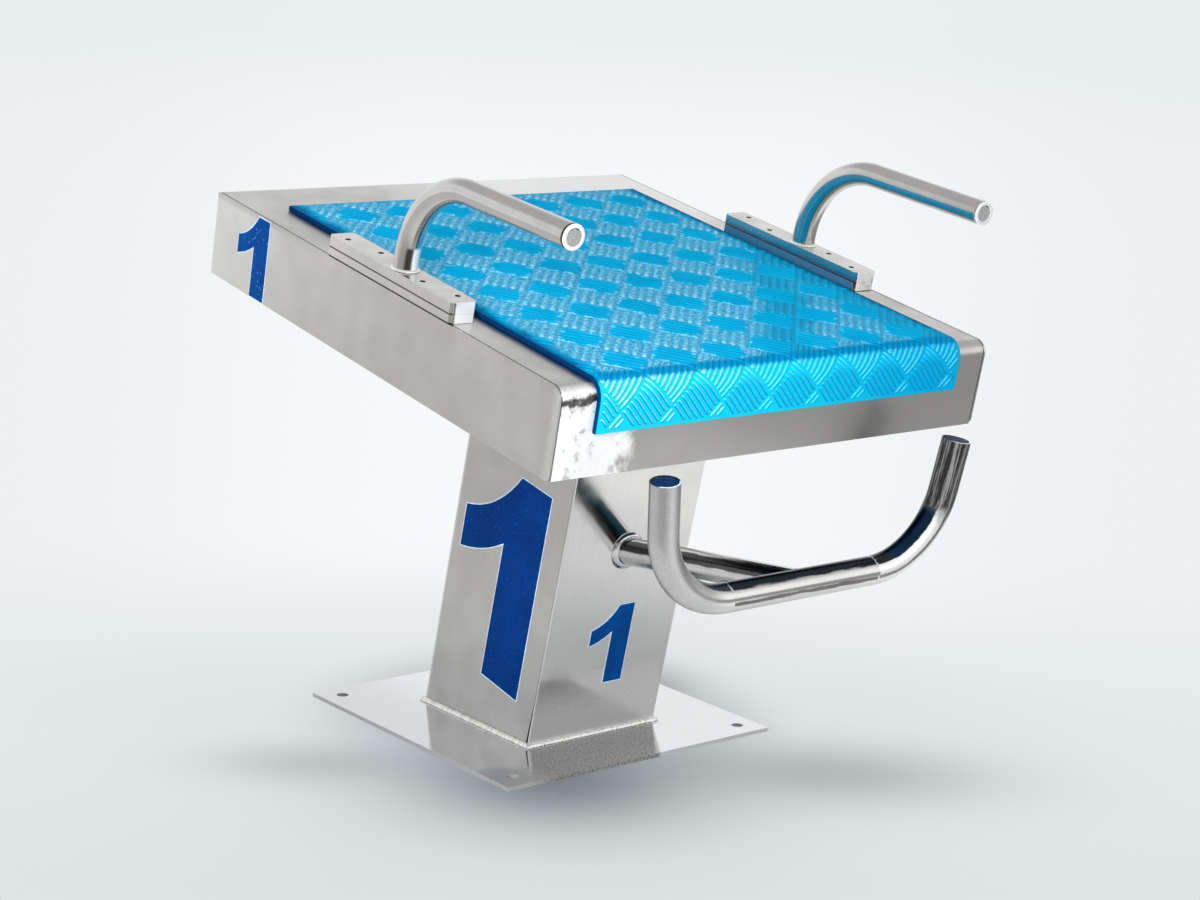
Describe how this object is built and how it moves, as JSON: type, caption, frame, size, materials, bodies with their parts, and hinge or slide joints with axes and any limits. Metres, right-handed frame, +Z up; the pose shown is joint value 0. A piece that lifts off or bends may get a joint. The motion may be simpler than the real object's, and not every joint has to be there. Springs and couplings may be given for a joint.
{
  "type": "swimming starting block",
  "caption": "Swimming starting block: a sloping ribbed tread on a leaning box column, with hand grips on its side rims and a U-shaped backstroke bar.",
  "frame": {"origin": "middle of the base plate's underside, on the pool deck", "axes": "+Z up, -Y towards the pool, +X across the lane to the right of a swimmer who faces away from the pool"},
  "size_m": [0.6008, 0.7371, 0.6778],
  "materials": {
    "satin_steel": "satin brushed stainless steel",
    "polished_steel": "polished stainless steel",
    "screw_steel": "bright countersunk heads",
    "tread_blue": "moulded, chequered with fine ribs",
    "number_blue": "vinyl film with a pale outline",
    "plug_blue": "smooth plug"
  },
  "bodies": {
    "root": {"base_plate": "polished_steel", "foot_weld": "polished_steel", "column_front_sheet": "polished_steel", "column_rear_sheet": "polished_steel", "column_left_sheet": "satin_steel", "column_right_sheet": "satin_steel", "number_column_side": "number_blue", "number_column_front": "number_blue", "deck_sheet": "satin_steel", "side_plate_left": "satin_steel", "side_plate_right": "satin_steel", "rear_plate": "satin_steel", "head_plate": "satin_steel", "head_gusset_left": "satin_steel", "head_gusset_right": "satin_steel", "cross_channel_front": "satin_steel", "cross_channel_middle": "satin_steel", "cross_channel_rear": "satin_steel", "number_frame": "number_blue", "tread": "tread_blue", "grip_pad_left": "satin_steel", "grip_pad_right": "satin_steel", "grip_plate_left": "satin_steel", "grip_plate_right": "satin_steel", "grip_tube_left": "polished_steel", "grip_tube_right": "polished_steel", "grip_weld_left": "polished_steel", "grip_weld_right": "polished_steel", "grip_cap_left": "polished_steel", "grip_cap_right": "polished_steel", "grip_screw_left_1": "screw_steel", "grip_screw_left_2": "screw_steel", "grip_screw_left_3": "screw_steel", "grip_screw_left_4": "screw_steel", "grip_screw_right_1": "screw_steel", "grip_screw_right_2": "screw_steel", "grip_screw_right_3": "screw_steel", "grip_screw_right_4": "screw_steel", "bar_support": "polished_steel", "bar_support_weld": "polished_steel", "bar_middle": "polished_steel", "bar_arm_left": "polished_steel", "bar_arm_right": "polished_steel", "bar_plug_left": "plug_blue", "bar_plug_right": "plug_blue"}
  },
  "joints": []
}
